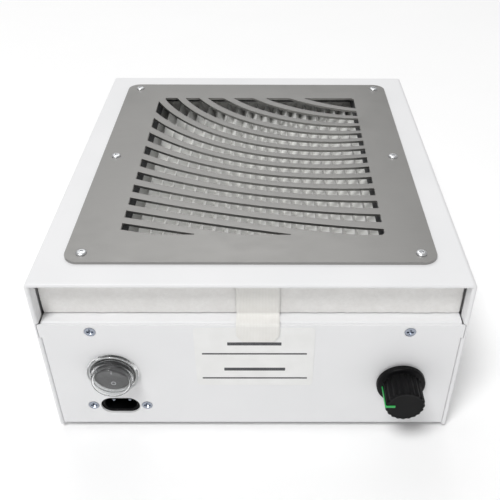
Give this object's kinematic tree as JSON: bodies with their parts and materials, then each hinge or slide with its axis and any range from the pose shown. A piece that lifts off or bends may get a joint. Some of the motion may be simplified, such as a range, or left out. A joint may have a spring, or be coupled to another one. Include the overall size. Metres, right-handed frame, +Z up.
{
  "type": "nail dust collector",
  "caption": "Desktop nail dust collector: white steel box with a slotted steel top grille, slide-out pleated filter, fan, rocker switch, speed knob and mains inlet.",
  "frame": {"origin": "on the floor, under the middle of the whole object, knob included", "axes": "+X to the right seen from the controls, +Y from the control panel to the exhaust, +Z up"},
  "size_m": [0.2112, 0.2548, 0.1031],
  "materials": {
    "white_powder_coat": "fine satin powder coat",
    "grille_steel": "rolled stainless sheet, laser cut, with a cloudy satin grain",
    "galvanised_steel": "zinc-coated sheet",
    "zinc_steel": "bright zinc plating",
    "foot_rubber": "moulded rubber",
    "label_film": "printed film, matt",
    "seal_foam": "closed-cell foam strip",
    "filter_felt": "needled polyester felt",
    "filter_paper": "pleated filter paper",
    "tab_fabric": "woven tape",
    "black_abs": "moulded, satin",
    "rocker_abs": "moulded, fine texture",
    "clear_cap": "clear soft PVC",
    "brass": "stamped",
    "pointer_green": "moulded insert",
    "board_green": "solder mask over glass fibre",
    "copper_winding": "lacquered copper wire",
    "film_capacitor": "dipped film capacitor",
    "red_lead": "PVC insulation",
    "blue_lead": "PVC insulation"
  },
  "bodies": {
    "casing": {"top_cover": "white_powder_coat", "base_tray": "white_powder_coat", "filter_shelf": "white_powder_coat", "grille_plate": "grille_steel", "speed_control": "galvanised_steel", "motor_plate": "galvanised_steel", "grille_screw_1": "zinc_steel", "grille_screw_2": "zinc_steel", "grille_screw_3": "zinc_steel", "grille_screw_4": "zinc_steel", "grille_screw_5": "zinc_steel", "grille_screw_6": "zinc_steel", "front_panel_screw_left": "zinc_steel", "front_panel_screw_right": "zinc_steel", "back_panel_screw_left": "zinc_steel", "back_panel_screw_right": "zinc_steel", "socket_screw_left": "zinc_steel", "socket_screw_right": "zinc_steel", "side_screw_left_front": "zinc_steel", "side_screw_left_back": "zinc_steel", "side_screw_right_front": "zinc_steel", "side_screw_right_back": "zinc_steel", "socket_pin_left": "zinc_steel", "socket_pin_right": "zinc_steel", "control_nut": "zinc_steel", "heat_sink": "zinc_steel", "foot_left_front": "foot_rubber", "foot_left_back": "foot_rubber", "foot_right_front": "foot_rubber", "foot_right_back": "foot_rubber", "rating_label": "label_film", "filter_seal": "seal_foam", "switch_housing": "black_abs", "socket_body": "black_abs", "inlet_ring": "black_abs", "board_rail_left": "rocker_abs", "board_rail_right": "rocker_abs", "terminal_block": "rocker_abs", "switch_cap": "clear_cap", "switch_terminal_left": "brass", "switch_terminal_right": "brass", "circuit_board": "board_green", "choke_coil": "copper_winding", "motor_stator": "copper_winding", "suppression_capacitor": "film_capacitor", "wire_socket_to_switch": "red_lead", "wire_switch_to_board": "red_lead", "wire_socket_to_board": "blue_lead", "wire_control_to_board": "blue_lead", "wire_motor": "blue_lead"},
    "filter": {"filter_frame": "filter_felt", "filter_pleats": "filter_paper", "filter_face": "filter_felt", "pull_tab": "tab_fabric"},
    "rocker": {"switch_rocker": "rocker_abs"},
    "knob": {"speed_knob": "black_abs", "knob_pointer": "pointer_green", "knob_shaft": "zinc_steel"},
    "fan": {"impeller": "black_abs", "motor_rotor": "galvanised_steel"}
  },
  "joints": [
    {"name": "filter_slide", "type": "slide", "parent": "casing", "child": "filter", "axis": [0, -1, 0], "range_m": [0, 0.235]},
    {"name": "power_rocker", "type": "hinge", "parent": "casing", "child": "rocker", "pos_m": [-0.07, -0.1112, 0.043], "axis": [-1, 0, 0], "range_deg": [0, 16]},
    {"name": "speed_turn", "type": "hinge", "parent": "casing", "child": "knob", "pos_m": [0.0754, -0.1102, 0.0372], "axis": [0, 1, 0], "range_deg": [-60, 240]},
    {"name": "fan_spin", "type": "hinge", "parent": "casing", "child": "fan", "pos_m": [0, 0.0318, 0.04], "axis": [0, 0, 1], "continuous": true}
  ]
}
